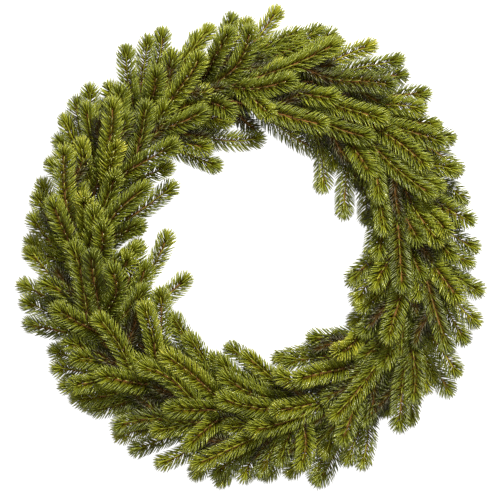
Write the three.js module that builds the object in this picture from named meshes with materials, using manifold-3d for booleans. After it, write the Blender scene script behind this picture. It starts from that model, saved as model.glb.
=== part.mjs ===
// Evergreen wreath, lying on its back: sprays of spruce held in the clamps of a wire ring.
// Millimetres and degrees. +Z is the way the wreath faces, +Y is its top, z = 0 is its back.
// A heading is a compass bearing seen from the front: 0 points to the top, 90 to the right.

import * as THREE from 'three';
import { mergeVertices } from 'three/addons/utils/BufferGeometryUtils.js';
import Module from 'manifold-3d';

const wasm = await Module();
wasm.setup();

// Wire ring: two rails, joined by clamps that fold over the stems.
const CLAMP_COUNT = 14;
const RAIL_RADII = [190, 218];
const RAIL_WIRE = 3; // six-sided, so its flat underside lies on the surface
const RAIL_SEGMENTS = 34;
const CLAMP_WIRE = 2.4;
const CLAMP_FLOOR = 3.8; // centre of the cross bar, sunk a little into both rails
const CLAMP_ROOF = 9.9; // centre of the arms that are folded over the stems
const CLAMP_HALF_WIDTH = 16;
const CLAMP_MOUTH = 2; // half the gap between the two folded ends
const CLAMP_BEND = 2.4; // how far in from a corner the wire's bend starts

// Stems in a clamp.
const STEM_HEIGHT = 6.35; // axis of every stem where the clamp holds it
const LANE_WIDTH = 5.5; // from one stem to the next
const STEM_TAIL = 12; // cut end behind the clamp
const STEM_NOSE = 7; // straight stretch past the clamp

// Twigs.
const STEM_RADIUS = 2;
const LEADER_TIP_RADIUS = 1.25;
const SIDE_ROOT_RADIUS = 0.9; // inside the leader's wood
const SIDE_TIP_RADIUS = 1.15;
const CORE_SIDES = 3;
const CORE_TURN = 90; // a corner of the core lies uppermost
const CROWN = 10; // from the end of a twig's wood to the tip of its last needle
const CROWN_STUB = 1; // where there is no room for that needle
const FORK_REACH = 95; // wood of a side twig, measured back from its tip along its heading
const FORK_RANGE = [0.16, 0.62]; // share of the leader where side twigs may leave it
const FORK_STEPS = 12;
const FORK_ANGLES = [38, 75]; // smallest and largest angle between a side twig and its leader
const FORK_ASIDE = 0.05; // a tip nearer than this to the leader's own line has no side of its own
const HANDLES = { leader: [0.36, 0.42], side: [0.3, 0.42] }; // Bezier handles over the chord
const RING_APART = 0.15; // a leader's spare rings keep this share of its length from its forks
const RINGS_MERGE = 0.06; // nearer than this, two rings are one
const LEADER_RINGS = 2; // besides the one at its root
const SPARE_RINGS = [0.5, 0.75]; // where they lie without forks, as a share of the plain wood
const STRAIGHT_BOW = 1.6; // a side twig's plain wood stays straight where it would bow less

// Needles, in whorls of six where a twig's core is pinched into an antiprism.
const NEEDLE_LENGTH = 17;
const NEEDLE_ROOT_RADIUS = 1.25;
const WHORL_LENGTH = 2;
const WHORLS = [41, 20, 1]; // each whorl's front edge, back from the end of the wood
const LEANS = [36, 58]; // needle against twig, by turns round a whorl
const CROWN_LEANS = [24, 44]; // in the last whorl
const LEAN_PLAY = 5;
const TWIST = 24; // turn of the core from one whorl to the next

// Room kept between pieces that do not touch.
const TWIG_ROOM = 4.5; // between the axes of twigs of different sprays
const NEEDLE_ROOM = 0.45;
const NEARBY = 1; // rods further apart than this are left out of the tests
const LIFTS = [0, 3, -3, 6, -6, 9, -9, 12, -12, 15, -15, 18, -18, 21, 24, 27, 30];
const TWIG_SAMPLES = 24;
const LOWEST_TIP = 19;

// How a needle without room is changed, the least first: its lean, its swing round the twig. Where
// none of these clears it, a shorter needle tries them again.
const NEEDLE_SHARES = [1, 0.75];
const NEEDLE_TURNS = [
  [0, 0], [0, 16], [0, -16], [-14, 0], [12, 0], [-14, 16], [-14, -16], [0, 30], [0, -30],
];

// The layer a twig lies in: height of its tip over the back, how steeply the tip points up, and
// how steeply the stem leaves its clamp.
const LOW = { height: 27, pitch: 3, rise: 10 };
const MID = { height: 60, pitch: 14, rise: 26 };
const TOP = { height: 88, pitch: 17, rise: 40 };
const FACE = { height: 100, pitch: 62, rise: 42 };
const HEIGHT_PLAY = 6;
const PITCH_PLAY = 5;
const LAYOUT_SEED = 2024;
const NEEDLE_SEED = 777;

// Sprays by clamp, clockwise from the top, and in each clamp from the inner rail to the outer.
// A spray lists its twigs, the leader first: tip x, tip y, heading and layer.
const SPRAYS = [
  [
    [[154, 138, 100, TOP], [122, 169, 90, MID], [90, 71, 187, LOW]],
    [[171, 160, 105, TOP], [112, 188, 92, TOP]],
    [[182, 202, 100, TOP], [102, 260, 55, MID], [118, 265, 52, LOW]],
    [[200, 220, 85, LOW], [194, 240, 75, LOW], [160, 259, 72, LOW]],
  ],
  [
    [[159, 56, 178, TOP], [118, 38, 180, LOW], [152, 87, 152, TOP], [164, 16, 180, TOP]],
    [[229, 65, 122, TOP], [184, 106, 130, MID], [241, 75, 108, TOP]],
    [[222, 98, 135, TOP], [244, 131, 110, TOP], [219, 172, 110, MID]],
    [[266, 94, 133, LOW], [259, 138, 100, LOW], [239, 153, 100, MID], [228, 194, 95, LOW]],
  ],
  [
    [[188, -54, 175, TOP], [152, -15, 185, MID]],
    [[238, 5, 140, TOP], [212, 5, 150, TOP], [219, -38, 145, MID]],
    [[256, -15, 140, MID], [229, 33, 145, MID], [243, 20, 150, FACE]],
    [[288, 0, 115, LOW], [281, 33, 115, MID], [272, 56, 140, LOW]],
  ],
  [
    [[167, -116, 198, TOP], [125, -44, 223, LOW], [131, -75, 240, MID]],
    [[188, -146, 180, MID], [210, -65, 180, TOP]],
    [[246, -127, 160, TOP], [262, -66, 142, TOP]],
    [[289, -95, 130, LOW], [281, -21, 125, LOW], [295, -54, 113, LOW], [271, -119, 152, LOW]],
  ],
  [
    [[70, -110, 272, LOW], [129, -135, 255, MID], [104, -122, 285, FACE]],
    [[98, -212, 225, TOP], [157, -149, 225, MID], [141, -221, 197, MID]],
    [[201, -190, 187, TOP], [184, -225, 183, TOP], [221, -181, 172, LOW]],
    [[253, -184, 150, LOW], [262, -160, 150, LOW], [201, -221, 182, LOW]],
  ],
  [
    [[52, -162, 252, TOP], [38, -143, 255, LOW], [30, -148, 305, TOP]],
    [[-5, -223, 262, TOP], [29, -197, 273, FACE]],
    [[110, -242, 203, TOP], [45, -284, 225, LOW]],
    [[81, -296, 215, LOW], [118, -270, 205, LOW], [138, -275, 198, LOW]],
  ],
  [
    [[-38, -151, 308, TOP], [-32, -119, 300, LOW], [-41, -133, 320, MID]],
    [[-43, -180, 290, TOP], [-36, -221, 268, MID]],
    [[-74, -266, 250, TOP], [58, -273, 205, TOP]],
    [[-41, -296, 215, LOW], [15, -288, 218, LOW], [-9, -292, 195, LOW]],
  ],
  [
    [[-112, -126, 300, TOP], [-101, -78, 325, LOW], [-152, -133, 295, MID]],
    [[-108, -196, 272, TOP], [-90, -174, 285, MID], [-141, -144, 278, TOP]],
    [[-82, -246, 228, TOP], [-125, -225, 260, MID], [-172, -222, 248, MID]],
    [[-151, -253, 250, LOW], [-119, -269, 252, LOW], [-72, -288, 212, LOW], [-172, -235, 253, LOW]],
  ],
  [
    [[-133, -62, 340, TOP], [-112, -45, 355, MID]],
    [[-191, -152, 288, TOP], [-193, -79, 315, TOP]],
    [[-225, -134, 272, MID], [-235, -111, 292, MID], [-221, -165, 275, FACE]],
    [[-250, -147, 276, LOW], [-240, -168, 280, LOW], [-215, -194, 262, LOW]],
  ],
  [
    [[-102, 26, 15, LOW], [-75, -30, 45, LOW], [-179, -47, 345, MID]],
    [[-195, 2, 358, TOP], [-176, -15, 329, TOP]],
    [[-246, -68, 305, TOP], [-222, 12, 338, TOP], [-265, -41, 280, MID]],
    [[-292, -40, 297, LOW], [-288, -62, 292, LOW], [-284, -90, 286, LOW], [-281, 4, 318, LOW]],
  ],
  [
    [[-91, 85, 50, LOW], [-129, 33, 72, MID], [-136, 9, 42, MID], [-152, 0, 2, MID]],
    [[-122, 81, 54, TOP], [-165, 94, 20, FACE], [-184, 39, 352, TOP], [-195, 57, 350, TOP]],
    [[-228, 131, 5, TOP], [-206, 67, 350, FACE], [-212, 85, 0, MID], [-247, 66, 336, TOP]],
    [[-262, 91, 345, LOW], [-278, 19, 335, LOW], [-275, 47, 330, LOW], [-268, 75, 339, LOW]],
  ],
  [
    [[-86, 134, 59, TOP], [-128, 186, 5, TOP]],
    [[-150, 171, 25, TOP], [-160, 137, 28, TOP], [-160, 207, 5, MID]],
    [[-169, 188, 0, TOP], [-210, 140, 355, MID], [-205, 185, 350, MID], [-200, 210, 0, LOW]],
    [[-234, 171, 340, LOW], [-255, 115, 320, LOW], [-244, 145, 322, LOW], [-216, 195, 3, LOW]],
  ],
  [
    [[-51, 175, 59, TOP], [-35, 102, 112, LOW], [19, 142, 79, LOW]],
    [[-58, 245, 28, TOP], [-106, 188, 2, MID], [-48, 202, 52, MID]],
    [[-45, 282, 42, LOW], [-97, 252, 3, MID], [-62, 275, 22, LOW], [-116, 229, 0, TOP]],
    [[-109, 280, 5, LOW], [-178, 212, 345, LOW], [-155, 258, 0, LOW], [-126, 271, 10, LOW]],
  ],
  [
    [[98, 152, 102, TOP], [-17, 165, 124, TOP], [99, 121, 110, LOW]],
    [[112, 258, 60, TOP], [25, 165, 140, FACE], [58, 212, 72, TOP]],
    [[0, 279, 4, TOP], [9, 219, 62, MID], [44, 235, 45, MID]],
    [[38, 305, 34, LOW], [-21, 275, 32, TOP], [-20, 298, 20, LOW], [2, 291, 33, LOW]],
  ],
];

const UP = new THREE.Vector3(0, 0, 1);
const DEGREE = Math.PI / 180;
const WELD = 1e-3; // points nearer than this are one
const PARALLEL = 1e-9; // below this the axes of two rods run side by side

// Small helpers

// Park and Miller's generator, for the small differences between twigs and between needles.
class Draws {
  static FACTOR = 48271;

  static MODULUS = 2147483647;

  constructor(seed) {
    this.state = seed;
  }

  within(range) {
    this.state = (this.state * Draws.FACTOR) % Draws.MODULUS;
    return ((2 * this.state) / Draws.MODULUS - 1) * range;
  }
}

function bearing(heading, pitch = 0) {
  const level = Math.cos(pitch * DEGREE);
  return new THREE.Vector3(
    Math.sin(heading * DEGREE) * level,
    Math.cos(heading * DEGREE) * level,
    Math.sin(pitch * DEGREE),
  );
}

// The heading of a clamp, and the point at `radius` and `height` over a heading.
function clampHeading(clamp) {
  return (360 * clamp) / CLAMP_COUNT;
}

function ringPoint(heading, radius, height) {
  return bearing(heading).multiplyScalar(radius).setZ(height);
}

function ringMiddle() {
  return (RAIL_RADII[0] + RAIL_RADII[1]) / 2;
}

// The point that lies `distance` from `from` along `direction`.
function step(from, direction, distance) {
  return from.clone().addScaledVector(direction, distance);
}

// A direction that leans from `along` towards `aside`, square to it, by `angle` in degrees.
function leaning(along, aside, angle) {
  return along.clone().multiplyScalar(Math.cos(angle * DEGREE))
    .addScaledVector(aside, Math.sin(angle * DEGREE));
}

// The part of `vector` that lies square to `along`.
function squareTo(along, vector) {
  return vector.clone().addScaledVector(along, -vector.dot(along));
}

function solidOfArrays(vertProperties, triVerts) {
  return new wasm.Manifold(new wasm.Mesh({ numProp: 3, vertProperties, triVerts }));
}

function solidOf(geometry) {
  geometry.deleteAttribute('normal');
  geometry.deleteAttribute('uv');
  const merged = mergeVertices(geometry, WELD);
  return solidOfArrays(
    new Float32Array(merged.attributes.position.array),
    new Uint32Array(merged.index.array),
  );
}

function nodeOf(name, solid, material) {
  const { numProp, vertProperties, triVerts } = solid.getMesh();
  const geometry = new THREE.BufferGeometry();
  geometry.setAttribute('position', new THREE.BufferAttribute(vertProperties, numProp));
  geometry.setIndex(new THREE.BufferAttribute(triVerts, 1));
  geometry.computeVertexNormals();
  const mesh = new THREE.Mesh(geometry, material);
  mesh.name = name;
  return mesh;
}

// A closed skin of triangles, built from rings of points that run along a wire or a twig.
class Skin {
  constructor() {
    this.points = [];
    this.triangles = [];
  }

  add(point) {
    this.points.push(point);
    return this.points.length - 1;
  }

  // A ring of points about `centre`, square to `along`, the first at `turn` from level.
  ring(centre, along, radius, turn) {
    const across = UP.clone().cross(along).normalize();
    const over = along.clone().cross(across);
    return Array.from({ length: CORE_SIDES }, (_, i) => (
      this.add(step(centre, leaning(across, over, turn + (360 * i) / CORE_SIDES), radius))
    ));
  }

  // The triangles between one ring and the next, not yet part of the skin.
  between(back, front) {
    return back.flatMap((a, i) => {
      const next = (i + 1) % back.length;
      return [[a, back[next], front[i]], [back[next], front[next], front[i]]];
    });
  }

  cover(triangles) {
    this.triangles.push(...triangles);
  }

  // Draws a triangle, or a whole ring's opening, out to a point.
  drawOut(loop, tip) {
    const apex = this.add(tip);
    this.cover(loop.map((a, i) => [a, loop[(i + 1) % loop.length], apex]));
  }

  close(loop) {
    this.cover(loop.slice(2).map((c, i) => [loop[0], loop[i + 1], c]));
  }

  middle(triangle) {
    const sum = new THREE.Vector3();
    triangle.forEach((i) => sum.add(this.points[i]));
    return sum.divideScalar(triangle.length);
  }

  solid() {
    return solidOfArrays(
      new Float32Array(this.points.flatMap((point) => point.toArray())),
      new Uint32Array(this.triangles.flat()),
    );
  }
}

// A straight stretch of wire, wood or needle: its two ends, its radius at each, and the piece and
// the twig that it belongs to.
class Rod {
  constructor(start, end, startRadius, endRadius, piece, twig) {
    Object.assign(this, { start, end, startRadius, endRadius, piece, twig });
    this.run = end.clone().sub(start);
    this.centre = start.clone().add(end).multiplyScalar(0.5);
    this.size = this.run.length() / 2 + Math.max(startRadius, endRadius);
  }

  // Gap between the surfaces of two rods, from the nearest points of their axes, or Infinity where
  // they are too far apart to matter.
  gap(other) {
    if (this.centre.distanceTo(other.centre) > this.size + other.size + NEARBY) return Infinity;
    const between = this.start.clone().sub(other.start);
    const ownLength = this.run.lengthSq();
    const otherLength = other.run.lengthSq();
    const ownShare = this.run.dot(between);
    const otherShare = other.run.dot(between);
    const cross = this.run.dot(other.run);
    const spread = ownLength * otherLength - cross * cross;
    let s = spread < PARALLEL ? 0 : clampShare((cross * otherShare - ownShare * otherLength) / spread);
    let t = (cross * s + otherShare) / otherLength;
    if (t < 0 || t > 1) {
      t = clampShare(t);
      s = clampShare((cross * t - ownShare) / ownLength);
    }
    const distance = step(this.start, this.run, s).distanceTo(step(other.start, other.run, t));
    const radii = THREE.MathUtils.lerp(this.startRadius, this.endRadius, s)
      + THREE.MathUtils.lerp(other.startRadius, other.endRadius, t);
    return distance - radii;
  }

  distanceTo(point) {
    const t = clampShare(point.clone().sub(this.start).dot(this.run) / this.run.lengthSq());
    return step(this.start, this.run, t).distanceTo(point);
  }

  // Whether the rod keeps the needles' room to every rod of another piece or twig.
  isClear(rods) {
    return rods.every((other) => (
      (other.piece === this.piece && other.twig === this.twig) || other.gap(this) > NEEDLE_ROOM
    ));
  }
}

function clampShare(share) {
  return THREE.MathUtils.clamp(share, 0, 1);
}

// Ring frame

// A rail: a six-sided wire with flat sides on top and underneath.
function railSolid(radius) {
  const half = RAIL_WIRE / 2;
  const side = RAIL_WIRE / Math.sqrt(3);
  const profile = [
    [-side / 2, 0],
    [side / 2, 0],
    [side, half],
    [side / 2, RAIL_WIRE],
    [-side / 2, RAIL_WIRE],
    [-side, half],
    [-side / 2, 0],
  ];
  const points = profile.map(([out, up]) => new THREE.Vector2(radius + out, up));
  return solidOf(new THREE.LatheGeometry(points, RAIL_SEGMENTS).rotateX(Math.PI / 2));
}

// Corners of a clamp's wire: one folded arm, down its side, along the cross bar, and up again.
function clampCorners(heading) {
  const side = [
    [CLAMP_MOUTH, CLAMP_ROOF],
    [CLAMP_HALF_WIDTH - CLAMP_BEND / 2, CLAMP_ROOF],
    [CLAMP_HALF_WIDTH, CLAMP_ROOF - CLAMP_BEND],
    [CLAMP_HALF_WIDTH - CLAMP_BEND, CLAMP_FLOOR],
  ];
  const across = [...side, ...side.toReversed().map(([out, up]) => [-out, up])];
  return across.map(([out, up]) => ringPoint(heading, ringMiddle() + out, up));
}

// A square wire through the corners, its section turned halfway at each of them.
function clampSolid(heading) {
  const corners = clampCorners(heading);
  const sideways = bearing(heading + 90);
  const skin = new Skin();
  const rings = corners.map((corner, i) => {
    const legs = [i - 1, i].map((k) => THREE.MathUtils.clamp(k, 0, corners.length - 2));
    const [into, outOf] = legs.map((k) => corners[k + 1].clone().sub(corners[k]).normalize());
    const along = into.clone().add(outOf).normalize();
    const inwards = along.clone().cross(sideways);
    const mitre = 1 / Math.cos(into.angleTo(along));
    const half = CLAMP_WIRE / 2;
    return [[1, 1], [1, -1], [-1, -1], [-1, 1]].map(([u, v]) => (
      skin.add(step(step(corner, inwards, u * half * mitre), sideways, v * half))
    ));
  });
  rings.slice(1).forEach((ring, i) => skin.cover(skin.between(rings[i], ring)));
  skin.close(rings[0].toReversed());
  skin.close(rings.at(-1));
  return skin.solid();
}

function frameSolid() {
  const clamps = Array.from({ length: CLAMP_COUNT }, (_, i) => clampSolid(clampHeading(i)));
  return wasm.Manifold.union([...RAIL_RADII.map(railSolid), ...clamps]);
}

// The rods along a chain of points, for a wire of one thickness.
function wireRods(points, wire, name) {
  return points.slice(1).map((point, i) => (
    new Rod(points[i], point, wire / 2, wire / 2, 'ring_frame', name)
  ));
}

function frameRods() {
  const corners = Array.from({ length: RAIL_SEGMENTS + 1 }, (_, i) => (360 * i) / RAIL_SEGMENTS);
  const rails = RAIL_RADII.flatMap((radius) => wireRods(
    corners.map((heading) => ringPoint(heading, radius, RAIL_WIRE / 2)),
    RAIL_WIRE,
    'rail',
  ));
  const clamps = Array.from({ length: CLAMP_COUNT }, (_, i) => (
    wireRods(clampCorners(clampHeading(i)), CLAMP_WIRE, 'clamp')
  ));
  return [...rails, ...clamps.flat()];
}

// Twigs

class Twig {
  // A Bezier curve from `start`, which it leaves along `leaving`, to the end of the wood behind
  // `tip`. `fork` is the place on its leader where a side twig starts.
  constructor(start, leaving, tip, handles, radii, fork = null) {
    const wood = step(tip.point, tip.direction, -CROWN);
    const reach = start.distanceTo(wood);
    this.curve = new THREE.CubicBezierCurve3(
      start,
      step(start, leaving, handles[0] * reach),
      step(wood, tip.direction, -handles[1] * reach),
      wood,
    );
    this.direction = tip.direction;
    this.radii = radii;
    this.fork = fork;
  }

  radius(t) {
    return THREE.MathUtils.lerp(this.radii[0], this.radii[1], t);
  }

  // Curve parameter of the place that lies `back` from the end of the wood.
  parameter(back) {
    return this.curve.getUtoTmapping(1 - back / this.curve.getLength());
  }

  samples() {
    return Array.from({ length: TWIG_SAMPLES + 1 }, (_, i) => this.curve.getPoint(i / TWIG_SAMPLES));
  }

  // The rods of its wood between the given places on its curve.
  rods(places, piece, name) {
    return places.slice(1).map((t, i) => new Rod(
      this.curve.getPoint(places[i]),
      this.curve.getPoint(t),
      this.radius(places[i]),
      this.radius(t),
      piece,
      name,
    ));
  }
}

// A tip as it is listed, lifted by `lift`, with its own small difference in height and pitch.
function tipOf([x, y, heading, layer], play, lift) {
  const height = Math.max(layer.height + play.height + lift, LOWEST_TIP);
  return {
    point: new THREE.Vector3(x, y, height),
    direction: bearing(heading, layer.pitch + play.pitch),
  };
}

// The way a side twig leaves its leader: towards its tip, but not too close along the leader.
function forkDirection(along, towards) {
  let aside = squareTo(along, towards);
  if (aside.length() < FORK_ASIDE) aside = along.clone().cross(UP);
  const angle = THREE.MathUtils.clamp(towards.angleTo(along) / DEGREE, ...FORK_ANGLES);
  return leaning(along, aside.normalize(), angle);
}

// Where on its leader a side twig forks off: nearest to its tip run straight back.
function forkPlace(leader, tip) {
  const back = step(tip.point, tip.direction, -FORK_REACH);
  const places = Array.from({ length: FORK_STEPS + 1 }, (_, i) => (
    THREE.MathUtils.lerp(...FORK_RANGE, i / FORK_STEPS)
  ));
  const distances = places.map((t) => leader.curve.getPoint(t).distanceTo(back));
  return places[distances.indexOf(Math.min(...distances))];
}

function sideTwig(leader, tip) {
  const place = forkPlace(leader, tip);
  const fork = leader.curve.getPoint(place);
  const towards = step(tip.point, tip.direction, -CROWN).sub(fork).normalize();
  const leaving = forkDirection(leader.curve.getTangent(place), towards);
  return new Twig(fork, leaving, tip, HANDLES.side, [SIDE_ROOT_RADIUS, SIDE_TIP_RADIUS], place);
}

// Smallest distance from a twig's points to the wood of other sprays.
function woodRoom(twig, laid) {
  let least = Infinity;
  for (const point of twig.samples()) {
    for (const rod of laid) {
      const near = rod.centre.distanceTo(point) <= rod.size + TWIG_ROOM;
      if (near) least = Math.min(least, rod.distanceTo(point));
    }
  }
  return least;
}

// Lays a twig, its tip lifted or lowered until its wood is clear of the wood laid before it.
function layTwig(makeTwig, laid) {
  let best;
  for (const lift of LIFTS) {
    const twig = makeTwig(lift);
    const room = woodRoom(twig, laid);
    if (!best || room > best.room) best = { twig, room };
    if (room >= TWIG_ROOM) break;
  }
  return best.twig;
}

// One spray's stem and the curves of its twigs, clear of the wood laid before it.
function laySpray(tips, clamp, lane, laneCount, draws, laid) {
  const name = `spray_${String(clamp * laneCount + lane + 1).padStart(2, '0')}`;
  const heading = clampHeading(clamp);
  const along = bearing(heading + 90);
  const laneRadius = ringMiddle() + (lane - (laneCount - 1) / 2) * LANE_WIDTH;
  const held = ringPoint(heading, laneRadius, STEM_HEIGHT);
  const nose = step(held, along, STEM_NOSE);
  const plays = tips.map(() => (
    { height: draws.within(HEIGHT_PLAY), pitch: draws.within(PITCH_PLAY) }
  ));
  const leaderLayer = tips[0].at(-1);
  const rise = bearing(heading + 90, leaderLayer.rise);
  const leader = layTwig((lift) => new Twig(
    nose,
    rise,
    tipOf(tips[0], plays[0], lift),
    HANDLES.leader,
    [STEM_RADIUS, LEADER_TIP_RADIUS],
  ), laid);
  const sides = tips.slice(1).map((tip, i) => (
    layTwig((lift) => sideTwig(leader, tipOf(tip, plays[i + 1], lift)), laid)
  ));
  return { name, tail: step(held, along, -STEM_TAIL), nose, twigs: [leader, ...sides] };
}

function laySprays() {
  const draws = new Draws(LAYOUT_SEED);
  const places = Array.from({ length: TWIG_SAMPLES + 1 }, (_, i) => i / TWIG_SAMPLES);
  const laid = [];
  return SPRAYS.flatMap((lanes, clamp) => lanes.map((tips, lane) => {
    const spray = laySpray(tips, clamp, lane, lanes.length, draws, laid);
    spray.twigs.forEach((twig, i) => laid.push(...twig.rods(places, spray.name, i)));
    return spray;
  }));
}

// Wood and needles

// Where a twig's skin has rings before its whorls: a leader's at its forks and between them, a side
// twig's in the leader's wood and, where it bends, halfway to its needles.
function plainRings({ twigs }, index) {
  const { curve } = twigs[index];
  const plain = twigs[index].parameter(WHORLS[0] + WHORL_LENGTH);
  const halfway = plain / 2;
  if (index > 0) {
    const chord = new THREE.Line3(curve.getPoint(0), curve.getPoint(plain));
    const bend = curve.getPoint(halfway);
    const bow = chord.closestPointToPoint(bend, true, new THREE.Vector3()).distanceTo(bend);
    return bow > STRAIGHT_BOW ? [0, halfway] : [0];
  }
  const forks = twigs.slice(1).map((twig) => twig.fork);
  const spare = SPARE_RINGS.map((share) => share * plain)
    .filter((t) => forks.every((fork) => Math.abs(fork - t) > RING_APART))
    .slice(0, Math.max(0, LEADER_RINGS - forks.length));
  const places = [0, ...forks, ...spare].sort((a, b) => a - b);
  return places.filter((t, i) => i === 0 || t - places[i - 1] > RINGS_MERGE);
}

// The rods of a twig's wood, from each ring of its skin to the next.
function woodRods(spray, index) {
  const twig = spray.twigs[index];
  const whorls = WHORLS.flatMap((back) => [back + WHORL_LENGTH, back]);
  const places = [...plainRings(spray, index), ...whorls.map((back) => twig.parameter(back))];
  const wood = twig.rods(places, spray.name, index);
  if (index > 0) return wood;
  return [new Rod(spray.tail, spray.nose, STEM_RADIUS, STEM_RADIUS, spray.name, index), ...wood];
}

// Builds the skins of all twigs, each needle clear of what is there before it.
class Needles {
  constructor(rods) {
    this.rods = rods;
    this.draws = new Draws(NEEDLE_SEED);
  }

  // A needle on a triangle of a whorl, turned or shortened until it is clear, or null.
  needle(root, along, outwards, lean, name, index) {
    for (const share of NEEDLE_SHARES) {
      for (const [leanChange, swing] of NEEDLE_TURNS) {
        const aside = outwards.clone().applyAxisAngle(along, swing * DEGREE);
        const end = step(root, leaning(along, aside, lean + leanChange), NEEDLE_LENGTH * share);
        const rod = new Rod(root, end, NEEDLE_ROOT_RADIUS, 0, name, index);
        if (rod.isClear(this.rods)) return rod;
      }
    }
    return null;
  }

  // Draws the triangles of a whorl out into needles, and covers those that have no room.
  whorl(skin, triangles, twig, back, leans, name, index) {
    const middle = twig.parameter(back + WHORL_LENGTH / 2);
    const centre = twig.curve.getPoint(middle);
    const along = twig.curve.getTangent(middle);
    triangles.forEach((triangle, i) => {
      const root = skin.middle(triangle);
      const outwards = squareTo(along, root.clone().sub(centre)).normalize();
      const lean = leans[i % leans.length] + this.draws.within(LEAN_PLAY);
      const needle = this.needle(root, along, outwards, lean, name, index);
      if (needle) {
        this.rods.push(needle);
        skin.drawOut(triangle, needle.end);
      } else {
        skin.cover([triangle]);
      }
    });
  }

  // Draws the end of the wood out into the last needle, the longest that has room.
  crown(skin, ring, twig, name, index) {
    const end = twig.curve.getPoint(1);
    const needle = [CROWN, CROWN / 2, WHORL_LENGTH]
      .map((reach) => step(end, twig.direction, reach))
      .map((tip) => new Rod(end, tip, LEADER_TIP_RADIUS, 0, name, index))
      .find((rod) => rod.isClear(this.rods));
    if (needle) this.rods.push(needle);
    skin.drawOut(ring, needle ? needle.end : step(end, twig.direction, CROWN_STUB));
  }

  // A twig's skin, from its root on: plain rings, whorls of needles, and the crown.
  twigSolid({ name, tail, nose, twigs }, index, plain) {
    const twig = twigs[index];
    const skin = new Skin();
    let turn = CORE_TURN;
    const ringAt = (t) => (
      skin.ring(twig.curve.getPoint(t), twig.curve.getTangent(t), twig.radius(t), turn)
    );
    let last = index === 0
      ? skin.ring(tail, nose.clone().sub(tail).normalize(), STEM_RADIUS, turn)
      : ringAt(0);
    skin.close(last.toReversed());
    const extend = (t) => {
      const ring = ringAt(t);
      skin.cover(skin.between(last, ring));
      last = ring;
    };
    plain.slice(index === 0 ? 0 : 1).forEach(extend);
    WHORLS.forEach((back, w) => {
      turn += TWIST;
      extend(twig.parameter(back + WHORL_LENGTH));
      turn += 180 / CORE_SIDES;
      const front = ringAt(twig.parameter(back));
      const leans = w === WHORLS.length - 1 ? CROWN_LEANS : LEANS;
      this.whorl(skin, skin.between(last, front), twig, back, leans, name, index);
      last = front;
    });
    this.crown(skin, last, twig, name, index);
    return skin.solid();
  }

  spraySolid(spray) {
    return wasm.Manifold.union(
      spray.twigs.map((_, index) => this.twigSolid(spray, index, plainRings(spray, index))),
    );
  }
}

// Assembly

const wireMaterial = new THREE.MeshStandardMaterial({
  color: 0x24402a, roughness: 0.5, metalness: 0.3,
});
const needleMaterial = new THREE.MeshStandardMaterial({
  color: 0x5f6e2c, roughness: 0.65, metalness: 0,
});

const sprays = laySprays();
const wood = sprays.flatMap((spray) => spray.twigs.flatMap((_, index) => woodRods(spray, index)));
const needles = new Needles([...frameRods(), ...wood]);

const wreath = new THREE.Group();
wreath.add(nodeOf('ring_frame', frameSolid(), wireMaterial));
sprays.forEach((spray) => wreath.add(nodeOf(spray.name, needles.spraySolid(spray), needleMaterial)));

// The origin is under the middle of the wreath, on the surface it lies on.
const middle = new THREE.Box3().setFromObject(wreath).getCenter(new THREE.Vector3());
wreath.position.set(-middle.x, -middle.y, 0);

export default wreath;
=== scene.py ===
"""Fresh evergreen wreath: spruce sprays clamped to a wire ring, lying on its back.

The layout of the twigs is worked out in millimetres from the ring's centre, as the solids'
is, and every shape is an array of points that is moved into the frame, in metres, at the end.
"""

import logging
from dataclasses import dataclass, field
from enum import Enum
from typing import Callable, Iterable, Optional, Sequence, Union

import bpy
import numpy as np
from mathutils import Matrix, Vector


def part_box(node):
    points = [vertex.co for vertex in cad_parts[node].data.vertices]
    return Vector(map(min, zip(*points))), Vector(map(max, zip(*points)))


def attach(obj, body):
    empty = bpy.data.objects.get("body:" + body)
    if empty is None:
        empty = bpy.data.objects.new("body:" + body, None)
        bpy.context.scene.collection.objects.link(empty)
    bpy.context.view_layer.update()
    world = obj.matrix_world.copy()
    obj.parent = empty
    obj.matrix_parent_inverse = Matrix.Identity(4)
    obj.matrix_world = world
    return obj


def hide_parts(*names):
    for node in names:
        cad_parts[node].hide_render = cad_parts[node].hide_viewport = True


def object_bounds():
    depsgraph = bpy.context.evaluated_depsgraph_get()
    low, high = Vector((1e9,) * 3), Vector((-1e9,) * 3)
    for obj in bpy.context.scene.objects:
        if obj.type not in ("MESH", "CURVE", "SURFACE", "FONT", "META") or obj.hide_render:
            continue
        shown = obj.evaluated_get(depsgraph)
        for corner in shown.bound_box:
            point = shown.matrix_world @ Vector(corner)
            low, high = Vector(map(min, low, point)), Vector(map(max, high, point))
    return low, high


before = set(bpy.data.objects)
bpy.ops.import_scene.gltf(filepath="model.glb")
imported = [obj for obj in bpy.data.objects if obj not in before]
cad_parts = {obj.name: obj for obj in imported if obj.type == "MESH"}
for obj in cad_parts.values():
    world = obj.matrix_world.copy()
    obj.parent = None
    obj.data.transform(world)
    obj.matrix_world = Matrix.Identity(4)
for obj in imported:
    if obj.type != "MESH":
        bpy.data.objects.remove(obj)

logging.basicConfig(level=logging.INFO, format="%(message)s")
log = logging.getLogger("wreath")

MILLIMETRE = 0.001
TINY = 1e-9
CAD_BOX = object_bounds()
UP = np.array([0.0, 0.0, 1.0])


class Layer(Enum):
    """The layer that a twig lies in: its tip's height, the tip's pitch, and the stem's rise."""

    LOW = (27.0, 3.0, 10.0)
    MID = (60.0, 14.0, 26.0)
    TOP = (88.0, 17.0, 40.0)
    FACE = (100.0, 62.0, 42.0)


LOW, MID, TOP, FACE = Layer

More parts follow.
